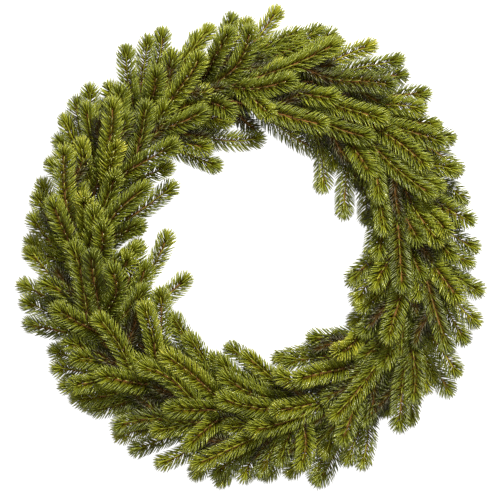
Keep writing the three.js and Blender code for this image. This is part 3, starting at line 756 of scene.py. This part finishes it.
@dataclass(frozen=True)
class Needles:
    """The needles of one shoot: how long, how dense, how they lean, and how finely they are cut.

    Lengths are in millimetres, reaches too, back from the shoot's end. Leans are in degrees from
    the shoot, ranks from its upper side. `short` and `slim` are the share of the length and of
    the thickness at the shoot's end, and where the share starts and stops to rise. `play` is
    how far a shoot's widest lean may differ, `spread` sets how fast the leans open behind the
    shoot's end, and a noise is a spread of draws. The places on the scale from old to fresh
    start from the shoot's tint, which carries painted light and shade as well as age.
    """

    length: float = 19.6
    length_play: tuple[float, float] = (0.96, 1.04)
    short: tuple[float, float, float] = (0.72, -3.0, 12.0)
    radius: float = 0.93
    radius_play: tuple[float, float] = (0.9, 1.1)
    slim: tuple[float, float, float] = (0.82, 0.0, 8.0)
    depth: float = 0.6  # where the roots start, as a share of the twig's radius
    clad: float = 84.0
    clad_fade: float = 25.0
    dense: float = 1.52
    sparse: float = 0.6
    jitter: float = 0.12
    crown: float = 2.3
    crown_reach: float = 14.0
    dome: float = 8.0
    ranks: tuple[float, ...] = (
        88.0, -88.0, 52.0, -52.0, 82.0, -82.0, 130.0, -130.0, 92.0, -92.0, 40.0, -40.0,
        84.0, -84.0, 134.0, -134.0, 6.0,
    )
    rank_play: float = 0.08
    rank_noise: float = 0.1
    leans: tuple[float, float] = (6.0, 61.0)
    play: tuple[float, float] = (-8.0, 5.0)
    spread: tuple[float, float] = (0.9, 2.7)
    top_lean: float = 20.0
    lean_noise: float = 2.0
    bend: float = 24.0
    rings: tuple[float, ...] = (0.0, 0.36, 0.74)
    thickness: tuple[float, ...] = (0.66, 1.0, 0.84)
    clearance: float = 1.2
    least_room: float = 0.2
    young: float = 0.06
    young_reach: float = 30.0
    old: float = 0.18
    old_reach: tuple[float, float] = (50.4, 124.0)
    age_noise: float = 0.07
    ages: tuple[float, float] = (0.02, 0.96)

    def places(self, twig: Twig, bare: float) -> np.ndarray:
        """Distances back from the end of the wood at which needles stand.

        In words: the needles for each millimetre are dense over the clad length, sparse below
        it and densest at the tip, and each needle takes an equal share of their running total.

        Args:
            twig: the shoot.
            bare: length at its root without needles.

        Returns:
            The distances, from the tip backwards.
        """
        back = np.linspace(0, max(twig.curve.length - bare, 1.0), RATE_STEPS)
        clad = 1 - ease(back, self.clad, self.clad + self.clad_fade)
        rate = self.sparse + (self.dense - self.sparse) * clad
        rate += self.crown * self.dense * (1 - ease(back, 0, self.crown_reach))
        total = np.concatenate([[0], np.cumsum((rate[1:] + rate[:-1]) / 2 * np.diff(back))])
        count = int(total[-1])
        return np.interp((np.arange(count) + 0.5) / count * total[-1], total, back)

    def growth(self, twig: Twig, bare: float, random: np.random.Generator) -> Growth:
        """Where the needles stand round the shoot.

        In words: the needles take the ranks round the shoot by turns, so each rank is an even
        comb. In the crown each is turned by the golden angle from the one before instead.

        Args:
            twig: the shoot.
            bare: length at its root without needles.
            random: the source of the small differences.

        Returns:
            The places and directions of the needles' roots.
        """
        back = self.places(twig, bare)
        back = np.clip(back + random.uniform(-self.jitter, self.jitter, len(back)), 0, None)
        t = twig.curve.parameter(twig.curve.length - back)
        centre, along = twig.curve.point(t), twig.curve.tangent(t)
        over = unit(UP - along * along[:, 2:])
        across = np.cross(along, over)
        number = np.arange(len(back))
        comb = np.radians(self.ranks)[number % len(self.ranks)]
        comb = comb * (1 + random.uniform(-self.rank_play, self.rank_play))
        comb = comb + random.normal(0, self.rank_noise, len(back))
        golden = number * np.pi * (3 - np.sqrt(5))
        turn = np.where(back < self.dome, golden, comb)
        outwards = over * np.cos(turn)[:, None] + across * np.sin(turn)[:, None]
        radius = np.interp(t, [0, 1], twig.radii)
        return Growth(back, centre, along, outwards, np.cos(turn), radius)

    def lines(self, at: Growth, random: np.random.Generator) -> tuple[np.ndarray, ...]:
        """Each needle's line and its direction along it.

        In words: a needle leaves its twig at the first lean and ends at the second. Its line is
        the first direction by v less half its square, plus the second by half the square of v,
        all times its length. Near the shoot's end the leans spread out to make a round crown.
        A needle that would reach the floor has its fall held back.

        Args:
            at: where the needles stand.
            random: the source of the small differences.

        Returns:
            The points and the directions, both needles by steps by three.
        """
        count = len(at.back)
        spread = 1 - np.exp(-(at.back + self.spread[0]) / self.spread[1])
        widest = self.leans[1] + random.uniform(*self.play)
        raised = self.top_lean * np.clip(at.topness, 0, 1) ** 2
        lean = self.leans[0] + (widest - self.leans[0]) * spread - raised * spread
        first = np.radians(lean + random.normal(0, self.lean_noise, count))
        bend = self.bend * spread + random.normal(0, self.lean_noise, count)
        second = first - np.radians(bend)
        length = self.length * grown(at.back, *self.short)
        length = length * random.uniform(*self.length_play, count)
        root = at.centre + at.outwards * (at.radius * self.depth)[:, None]
        leave, arrive = (
            at.along * np.cos(angle)[:, None] + at.outwards * np.sin(angle)[:, None]
            for angle in (first, second)
        )
        fall = np.minimum((leave[:, 2] + arrive[:, 2]) / 2 * length, -TINY)
        room = np.minimum(self.clearance - root[:, 2], -self.least_room)
        held = np.minimum(room / fall, 1.0)
        leave, arrive = (held_back(way, held) for way in (leave, arrive))
        v = np.array([*self.rings, 1.0])[None, :, None]
        line = leave[:, None] * (v - v * v / 2) + arrive[:, None] * (v * v / 2)
        line = root[:, None] + line * length[:, None, None]
        return line, unit(leave[:, None] * (1 - v) + arrive[:, None] * v)

    def grow(self, twig: Twig, bare: float, tint: float, random: np.random.Generator) -> Surface:
        """The needles of one shoot: three corners round each step of the line, and one at its tip.

        Args:
            twig: the shoot.
            bare: length at its root without needles.
            tint: the shoot's own place on the scale from old to fresh; for the short shoots it lies at
                the near-black old end, as painted shade.
            random: the source of the small differences.

        Returns:
            The surface, mapped across with each needle's place on the scale from old to fresh, which
            also carries painted light and shade, and upwards with the share of the needle.
        """
        at = self.growth(twig, bare, random)
        count = len(at.back)
        line, way = self.lines(at, random)
        side = unit(np.cross(at.along, at.outwards))[:, None]
        side = unit(side - way * (side * way).sum(2, keepdims=True))
        over = np.cross(way, side)
        turn = np.arange(NEEDLE_SIDES) * 2 * np.pi / NEEDLE_SIDES
        around = (
            over[:, :-1, None] * np.cos(turn)[:, None] + side[:, :-1, None] * np.sin(turn)[:, None]
        )
        slim = random.uniform(*self.radius_play, count) * grown(at.back, *self.slim)
        thick = np.outer(slim, self.thickness) * self.radius
        corners = line[:, :-1, None] + around * thick[..., None, None]
        points = np.concatenate([corners.reshape(count, -1, 3), line[:, -1:]], 1)
        young = self.young * (1 - ease(at.back, 0, self.young_reach))
        age_light_and_shade = tint + young - self.old * ease(at.back, *self.old_reach)
        age_light_and_shade = np.clip(age_light_and_shade + random.normal(0, self.age_noise, count), *self.ages)
        return Surface(points.reshape(-1, 3), self.map(age_light_and_shade).reshape(-1, 2), *self.faces(count))

    def map(self, age_light_and_shade: np.ndarray) -> np.ndarray:
        """Places of the needles' points on the map: a small triangle for each ring, one above
        the other, so that each face has some width there.

        Args:
            age_light_and_shade: each needle's place on the scale from old to fresh, which also carries
                painted light and shade.

        Returns:
            An array of needles by points by two.
        """
        height = np.array(self.rings)[None] * MAP_RINGS
        ring = np.stack(np.broadcast_arrays(age_light_and_shade[:, None], height), -1)
        ring = (ring[:, :, None] + MAP_CORNERS).reshape(len(age_light_and_shade), -1, 2)
        tip = np.column_stack([age_light_and_shade + MAP_WIDTH / 2, np.full(len(age_light_and_shade), MAP_TIP)])
        return np.concatenate([ring, tip[:, None]], 1)

    def faces(self, count: int) -> tuple[np.ndarray, np.ndarray]:
        """The faces of that many needles.

        Args:
            count: number of needles.

        Returns:
            The quads of the sides, and the triangles of the roots and tips.
        """
        points = NEEDLE_SIDES * len(self.rings)
        grid = np.arange(points).reshape(-1, NEEDLE_SIDES)
        back, front = grid[:-1], grid[1:]
        walls = np.stack([back, np.roll(back, -1, 1), np.roll(front, -1, 1), front], -1)
        tips = np.stack([grid[-1], np.roll(grid[-1], -1), np.full(NEEDLE_SIDES, points)], -1)
        ends = np.vstack([grid[0][::-1][None], tips])
        step = (np.arange(count) * (points + 1))[:, None, None]
        return (walls.reshape(-1, 4) + step).reshape(-1, 4), (ends + step).reshape(-1, 3)


def held_back(way: np.ndarray, share: np.ndarray) -> np.ndarray:
    """Directions with their fall cut to a share of it, still of length one.

    Args:
        way: the directions.
        share: what is left of the fall of each.

    Returns:
        The flatter directions.
    """
    down = way[:, 2] * share
    level = np.sqrt(np.maximum(1 - down**2, 0) / np.maximum((way[:, :2] ** 2).sum(1), TINY))
    return np.column_stack([way[:, :2] * level[:, None], down])


@dataclass
class Spray:
    """One evergreen spray: its wood and its needles.

    `bare` is the length without needles at the root of a leader, a side twig and a short shoot.
    `tints` are the twigs' places on the scale from old (0) to fresh (1); the low layer's is raised a
    little as painted light against the shade it lies in. The short shoots' places lie at the
    near-black old end of the scale, as painted shade on top of their age.
    """

    plan: SprayPlan
    needles: Needles = Needles()
    inner: Needles = Needles(
        length=18.0, radius=1.08, dense=1.4, sparse=1.2, crown=1.0, rings=(0.0, 0.5),
        thickness=(0.7, 1.0),
    )
    bare: tuple[float, float, float] = (1.0, 4.0, 3.0)
    # The low layer's tint is a little above the mid and top layers': painted light, making up for the
    # shade it lies in.
    tints: tuple[tuple[Layer, float], ...] = ((LOW, 0.4), (MID, 0.37), (TOP, 0.37), (FACE, 0.4))
    tint_noise: float = 0.05
    fresh_tint: float = 0.12
    # The short shoots sit at the near-black old end of the scale: painted shade for the depths of the
    # foliage, on top of their real age.
    shoot_shade_tints: tuple[float, float] = (0.02, 0.15)
    step: float = 5.0
    shoot_step: float = 8.0
    sides: int = 7
    shoot_sides: int = 5
    fewest_rings: int = 6
    stem_rings: int = 6
    knob_count: int = 3
    knob_height: float = 0.1
    knob_turn: float = 2.4

    def wood(self) -> Surface:
        """The stem and all twigs: round sections carried along their curves.

        In words: the radius runs from the root's to the tip's and swells and shrinks three times
        round each ring, by a tenth, each ring turned against the last as leaf cushions are.

        Returns:
            The surface of the spray's wood.
        """
        tubes = []
        cuts = [(twig, self.sides, self.step) for twig in self.plan.twigs]
        cuts += [(twig, self.shoot_sides, self.shoot_step) for twig in self.plan.shoots]
        for index, (twig, sides, step) in enumerate(cuts):
            count = max(self.fewest_rings, int(twig.curve.length / step))
            t = twig.curve.parameter(np.linspace(0, twig.curve.length, count))
            path = twig.curve.point(t)
            radii = np.interp(t, [0, 1], twig.radii)
            if index == 0:
                stem = np.linspace(self.plan.tail, self.plan.nose, self.stem_rings + 1)[:-1]
                path = np.vstack([stem, path])
                radii = np.concatenate([np.full(len(stem), twig.radii[0]), radii])
            angle = np.arange(sides) * 2 * np.pi / sides
            turn = np.arange(len(path)) * self.knob_turn
            swell = 1 + self.knob_height * np.sin(self.knob_count * angle[None] + turn[:, None])
            tubes.append(tube(path, radii[:, None] * swell, UP, sides))
        return Surface.joined(tubes)

    def tint(self, twig: Twig, random: np.random.Generator) -> float:
        """A twig's place on the scale from old to fresh: its layer's, raised a little for the low
        layer as painted light, and its own difference.
        """
        base = dict(self.tints)[twig.tip.layer] + random.normal(0, self.tint_noise)
        return base + (self.fresh_tint if twig.tip.fresh else 0.0)

    def build(self, finishes: "Finishes") -> None:
        """Makes the spray's two pieces.

        Args:
            finishes: the materials.
        """
        random = np.random.default_rng([LAYOUT_SEED, self.plan.number])
        leader, side, short = self.bare
        parts = [
            self.needles.grow(twig, side if index else leader, self.tint(twig, random), random)
            for index, twig in enumerate(self.plan.twigs)
        ]
        parts += [
            self.inner.grow(twig, short, random.uniform(*self.shoot_shade_tints), random)
            for twig in self.plan.shoots
        ]
        name = f"spray_{self.plan.number:02d}"
        Surface.joined(parts).piece(
            f"{name}_needles", "needles", [name], finishes.needles, maps=NEEDLE_MAPS
        )
        self.wood().piece(f"{name}_wood", "bark", [name], finishes.bark, CREASE)


@dataclass
class WireRing:
    """The wire ring: two rails and the clamps that fold over the stems."""

    rail_steps: int = 160
    rail_sides: int = 10
    clamp_sides: int = 8
    corner_cuts: int = 3
    corner_cut: float = 0.25

    def rails(self) -> Surface:
        """A round section carried round a circle, once for each rail.

        Returns:
            Both rails as one surface.
        """
        angle = np.linspace(0, 2 * np.pi, self.rail_steps, endpoint=False)
        circle = np.column_stack([np.cos(angle), np.sin(angle), np.zeros(self.rail_steps)])
        height = UP * RAIL_WIRE / 2
        return Surface.joined([
            tube(circle * radius + height, np.full(self.rail_steps, RAIL_WIRE / 2), UP,
                 self.rail_sides, closed=True)
            for radius in RAIL_RADII
        ])

    def clamp(self, heading: float) -> Surface:
        """One clamp: a round wire bent up at both ends and folded in over the stems.

        In words: the corners of its path are cut at a quarter and three quarters of each leg,
        several times over, which rounds them.

        Args:
            heading: degrees clockwise from the top.

        Returns:
            The clamp's surface.
        """
        side = np.array([
            [CLAMP_MOUTH, CLAMP_ROOF],
            [CLAMP_HALF_WIDTH - CLAMP_BEND / 2, CLAMP_ROOF],
            [CLAMP_HALF_WIDTH, CLAMP_ROOF - CLAMP_BEND],
            [CLAMP_HALF_WIDTH - CLAMP_BEND, CLAMP_FLOOR],
        ])
        path = np.vstack([side, side[::-1] * [-1, 1]])
        near, far = 1 - self.corner_cut, self.corner_cut
        for _ in range(self.corner_cuts):
            back, front = path[:-1], path[1:]
            legs = np.stack([back * near + front * far, back * far + front * near], 1)
            path = np.vstack([path[:1], legs.reshape(-1, 2), path[-1:]])
        middle = sum(RAIL_RADII) / 2
        points = bearing(heading) * (middle + path[:, :1]) + UP * path[:, 1:]
        radii = np.full(len(points), CLAMP_WIRE / 2)
        return tube(points, radii, bearing(heading + 90), self.clamp_sides)

    def build(self, finishes: "Finishes") -> None:
        """Makes the ring's two pieces.

        Args:
            finishes: the materials.
        """
        self.rails().piece("ring_rails", "wire", ["ring_frame"], finishes.wire)
        headings = 360 * np.arange(CLAMP_COUNT) / CLAMP_COUNT
        clamps = Surface.joined([self.clamp(float(heading)) for heading in headings])
        clamps.piece("ring_clamps", "wire", ["ring_frame"], finishes.wire, CREASE)


Number = Union[float, "Wire"]


class Wire:
    """A socket that carries a value, and takes the usual operators."""

    def __init__(self, shader: "Shader", socket: bpy.types.NodeSocket) -> None:
        """Wraps a socket of a shader's tree."""
        self.shader, self.socket = shader, socket

    def _math(self, operation: str, first: Number, second: Number) -> "Wire":
        """Adds a Math node for an operation on two values."""
        return self.shader.node("ShaderNodeMath", {"operation": operation}, {0: first, 1: second})

    def __add__(self, other: Number) -> "Wire":
        """The sum with another value."""
        return self._math("ADD", self, other)

    __radd__ = __add__

    def __sub__(self, other: Number) -> "Wire":
        """This value less another."""
        return self._math("SUBTRACT", self, other)

    def __rsub__(self, other: Number) -> "Wire":
        """Another value less this one."""
        return self._math("SUBTRACT", other, self)

    def __mul__(self, other: Number) -> "Wire":
        """The product with another value."""
        return self._math("MULTIPLY", self, other)

    __rmul__ = __mul__

    def __pow__(self, other: Number) -> "Wire":
        """This value to the power of another."""
        return self._math("POWER", self, other)


class Shader:
    """A material that is being made: one Principled shader and the nodes that feed it."""

    def __init__(self, name: str, **constants: Union[float, tuple]) -> None:
        """Starts a material.

        Args:
            name: the material's name.
            constants: values for the shader's own sockets, with underscores for spaces.
        """
        self.material = bpy.data.materials.new(name)
        self.material.use_nodes = True
        self.tree = self.material.node_tree
        self.surface = self.tree.nodes["Principled BSDF"]
        for socket, value in constants.items():
            self.surface.inputs[socket.replace("_", " ")].default_value = value

    def node(self, kind: str, settings: dict, inputs: dict, output: Union[int, str] = 0) -> Wire:
        """Adds a node.

        Args:
            kind: the node's type.
            settings: its own properties, set first; `stops` are a ramp's positions and colours.
            inputs: values or wires by socket name or number.
            output: the socket that is wanted.

        Returns:
            The wanted output.
        """
        made = self.tree.nodes.new(kind)
        for key, value in settings.items():
            if key == "stops":
                self._set_stops(made.color_ramp, value)
            else:
                setattr(made, key, value)
        for key, value in inputs.items():
            if isinstance(value, Wire):
                self.tree.links.new(value.socket, made.inputs[key])
            else:
                made.inputs[key].default_value = value
        return Wire(self, made.outputs[output])

    @staticmethod
    def _set_stops(ramp: bpy.types.ColorRamp, stops: Sequence[tuple]) -> None:
        """Gives a ramp its stops.

        Args:
            ramp: the ramp.
            stops: pairs of a position and a colour.
        """
        while len(ramp.elements) < len(stops):
            ramp.elements.new(1.0)
        for element, (position, colour) in zip(ramp.elements, stops):
            element.position, element.color = position, colour

    def ramp(self, value: Wire, stops: Sequence[tuple]) -> Wire:
        """The colour at a value on a scale of stops."""
        return self.node("ShaderNodeValToRGB", {"stops": stops}, {0: value}, "Color")

    def mix(self, share: Number, first: Union[tuple, Wire], second: Union[tuple, Wire]) -> Wire:
        """Mixes two colours: the share is how much of the second."""
        inputs = {0: share, 6: first, 7: second}
        return self.node("ShaderNodeMix", {"data_type": "RGBA"}, inputs, 2)

    def noise(self, scale: float) -> Wire:
        """Cloudy noise on the piece's own coordinates, in metres."""
        where = self.node("ShaderNodeTexCoord", {}, {}, "Object")
        inputs = {"Vector": where, "Scale": scale, "Detail": NOISE_DETAIL}
        return self.node("ShaderNodeTexNoise", {}, inputs, "Fac")

    def growth(self) -> tuple[Wire, Wire]:
        """The two numbers of the piece's own map, across and up."""
        where = self.node("ShaderNodeUVMap", {"uv_map": "growth"}, {}, "UV")
        return (
            self.node("ShaderNodeSeparateXYZ", {}, {0: where}, "X"),
            self.node("ShaderNodeSeparateXYZ", {}, {0: where}, "Y"),
        )

    def feed(self, socket: str, value: Wire) -> None:
        """Links a value to one of the shader's own sockets."""
        self.tree.links.new(value.socket, self.surface.inputs[socket])

    def bump(self, scale: float, distance: float, strength: float) -> None:
        """Raises the surface by cloudy noise, as shading."""
        inputs = {"Height": self.noise(scale), "Distance": distance, "Strength": strength}
        self.feed("Normal", self.node("ShaderNodeBump", {}, inputs, "Normal"))


Colour = tuple[float, float, float, float]


def paint(red: int, green: int, blue: int) -> Colour:
    """A colour as it is named on a screen, made linear for a shader.

    Args:
        red: 0 to 255.
        green: 0 to 255.
        blue: 0 to 255.

    Returns:
        Linear red, green, blue and 1.
    """
    screen = np.array([red, green, blue]) / 255
    linear = np.where(screen <= 0.04045, screen / 12.92, ((screen + 0.055) / 1.055) ** 2.4)
    return (*(float(value) for value in linear), 1.0)


@dataclass(frozen=True)
class NeedleFinish:
    """Satin needles: dark where they are old, yellow-green where they have just grown, and near black
    at the old end of the scale as painted shade, which the short shoots deep in the foliage take.

    `tip_and_highlight_mix` and `root_mix` are how much of the tip's and the root's colour shows, and
    the power by which it falls off along the needle; the tip's colour is pale partly as a painted
    highlight. `roughness` is that of a fresh needle and what an old one has above it.
    """

    # The two lowest stops, near black, are painted shade, taken by the short shoots deep in the
    # foliage.
    ages: tuple = (
        (0.0, paint(13, 11, 0)),
        (0.12, paint(22, 26, 1)),
        (0.35, paint(56, 66, 5)),
        (0.6, paint(87, 92, 8)),
        (1.0, paint(136, 126, 18)),
    )
    # Pale towards the needle's tip: partly the real yellower tips, partly a painted highlight.
    tips: tuple = (
        (0.0, paint(36, 29, 4)),
        (0.2, paint(73, 76, 20)),
        (0.5, paint(125, 125, 48)),
        (1.0, paint(179, 165, 72)),
    )
    tip_and_highlight_mix: tuple[float, float] = (0.75, 2.2)
    roots: Colour = paint(92, 58, 16)
    root_mix: tuple[float, float] = (0.62, 4.0)
    roughness: tuple[float, float] = (0.14, 0.42)
    specular: float = 0.33
    gloss: Colour = (1.0, 0.97, 0.8, 1.0)

    def material(self) -> bpy.types.Material:
        """The material, which reads the place on the scale from old to fresh, with its painted light
        and shade, and the place along the needle from the piece's map.
        """
        shader = Shader("spruce_needle", Specular_IOR_Level=self.specular, Specular_Tint=self.gloss)
        age_light_and_shade, along = shader.growth()
        # Paler towards each needle's tip, partly as a painted highlight.
        share, power = self.tip_and_highlight_mix
        colour = shader.mix(
            along ** power * share, shader.ramp(age_light_and_shade, self.ages), shader.ramp(age_light_and_shade, self.tips)
        )
        share, power = self.root_mix
        colour = shader.mix((1 - along) ** power * share, colour, self.roots)
        shader.feed("Base Color", colour)
        shader.feed("Roughness", (1 - age_light_and_shade) ** 2 * self.roughness[1] + self.roughness[0])
        return shader.material


@dataclass(frozen=True)
class BarkFinish:
    """Matt orange-brown bark of young shoots, darker on the old stems.

    `mottle` is the scale, power and share of the darker patches. `relief` is the scale, depth
    and strength of the bumps.
    """

    young: Colour = paint(90, 60, 16)
    old: Colour = paint(60, 38, 16)
    shade: Colour = paint(46, 28, 12)
    mottle: tuple[float, float, float] = (420.0, 3.0, 1.6)
    relief: tuple[float, float, float] = (1500.0, 0.0004, 0.6)
    roughness: float = 0.8
    specular: float = 0.2

    def material(self) -> bpy.types.Material:
        """The material, with mottled colour and a fine rough relief."""
        shader = Shader("young_bark", Roughness=self.roughness, Specular_IOR_Level=self.specular)
        colour = shader.mix(shader.growth()[1], self.old, self.young)
        scale, power, share = self.mottle
        colour = shader.mix(shader.noise(scale) ** power * share, colour, self.shade)
        shader.feed("Base Color", colour)
        shader.bump(*self.relief)
        return shader.material


@dataclass(frozen=True)
class WireFinish:
    """Dark green enamel over steel wire.

    `wear` is the scale, power and share of the paler patches, `roughness` that of the thickest
    enamel and what the thinnest has above it, and `relief` the bumps' scale, depth and strength.
    """

    enamel: Colour = paint(34, 62, 40)
    worn: Colour = paint(62, 84, 56)
    wear: tuple[float, float, float] = (90.0, 4.0, 2.5)
    roughness: tuple[float, float] = (0.25, 0.3)
    relief: tuple[float, float, float] = (700.0, 0.0002, 0.4)
    coat: float = 0.3

    def material(self) -> bpy.types.Material:
        """The material, a little paler where the enamel is thin."""
        shader = Shader("green_enamel", Coat_Weight=self.coat)
        scale, power, share = self.wear
        thin = shader.noise(scale)
        shader.feed("Base Color", shader.mix(thin ** power * share, self.enamel, self.worn))
        shader.feed("Roughness", thin * self.roughness[1] + self.roughness[0])
        shader.bump(*self.relief)
        return shader.material


@dataclass
class Finishes:
    """The materials of the wreath."""

    needles: bpy.types.Material = field(default_factory=lambda: NeedleFinish().material())
    bark: bpy.types.Material = field(default_factory=lambda: BarkFinish().material())
    wire: bpy.types.Material = field(default_factory=lambda: WireFinish().material())


@dataclass
class Studio:
    """The pale floor, the soft light and the camera, which looks straight down on the wreath.

    A light is its name, its place and the length of its side in metres, and its power in watts.
    """

    floor_size: float = 14.0
    floor_gap: float = 0.0004
    floor_paint: Colour = paint(130, 130, 129)
    floor_roughness: float = 0.9
    floor_glow: float = 0.9
    surround: float = 0.27
    white: Colour = (1.0, 1.0, 1.0, 1.0)
    lights: tuple = (
        ("key", (0.5, 1.15, 1.85), 0.28, 164.0),
        ("overhead", (0.0, 0.02, 4.2), 0.7, 165.0),
    )
    view_width: float = 0.625
    view_height: float = 0.035
    camera_height: float = 3.6
    sensor: float = 36.0

    def floor(self) -> None:
        """A floor under the wreath that glows white, so that no shadow shows on it."""
        half = self.floor_size / 2
        mesh = bpy.data.meshes.new("floor")
        corners = [(-half, -half), (half, -half), (half, half), (-half, half)]
        mesh.from_pydata([(x, y, -self.floor_gap) for x, y in corners], [], [(0, 1, 2, 3)])
        shader = Shader(
            "white_floor", Roughness=self.floor_roughness, Base_Color=self.floor_paint,
            Emission_Color=self.white, Emission_Strength=self.floor_glow,
        )
        mesh.materials.append(shader.material)
        placed("floor", mesh)

    def light(self, name: str, place: tuple[float, float, float], size: float, power: float) -> None:
        """A square soft light aimed at the wreath.

        Args:
            name: the light's name.
            place: where it hangs, in metres.
            size: length of its side.
            power: in watts.
        """
        data = bpy.data.lights.new(name, "AREA")
        data.size, data.energy = size, power
        lamp = placed(name, data)
        lamp.location = place
        lamp.rotation_euler = (-lamp.location).to_track_quat("-Z", "Y").to_euler()

    def world(self) -> None:
        """An even white surround."""
        world = bpy.data.worlds.new("surround")
        world.use_nodes = True
        backdrop = world.node_tree.nodes["Background"]
        backdrop.inputs["Color"].default_value = self.white
        backdrop.inputs["Strength"].default_value = self.surround
        bpy.context.scene.world = world

    def camera(self) -> None:
        """A long lens above the ring's centre, with the wreath's top at the frame's top."""
        data = bpy.data.cameras.new("camera")
        data.sensor_width = self.sensor
        data.lens = self.sensor * self.camera_height / self.view_width
        camera = placed("camera", data)
        x, y, _ = ring_centre()
        camera.location = (x, y, self.view_height + self.camera_height)
        bpy.context.scene.camera = camera

    def build(self) -> None:
        """Sets up the whole studio."""
        self.floor()
        self.world()
        for light in self.lights:
            self.light(*light)
        self.camera()
        bpy.context.scene.view_settings.view_transform = "Standard"


def main() -> None:
    """Builds the wreath and the studio."""
    Studio().build()
    finishes = Finishes()
    WireRing().build(finishes)
    for plan in Layout().sprays():
        Spray(plan).build(finishes)


if __name__ == "__main__":
    main()
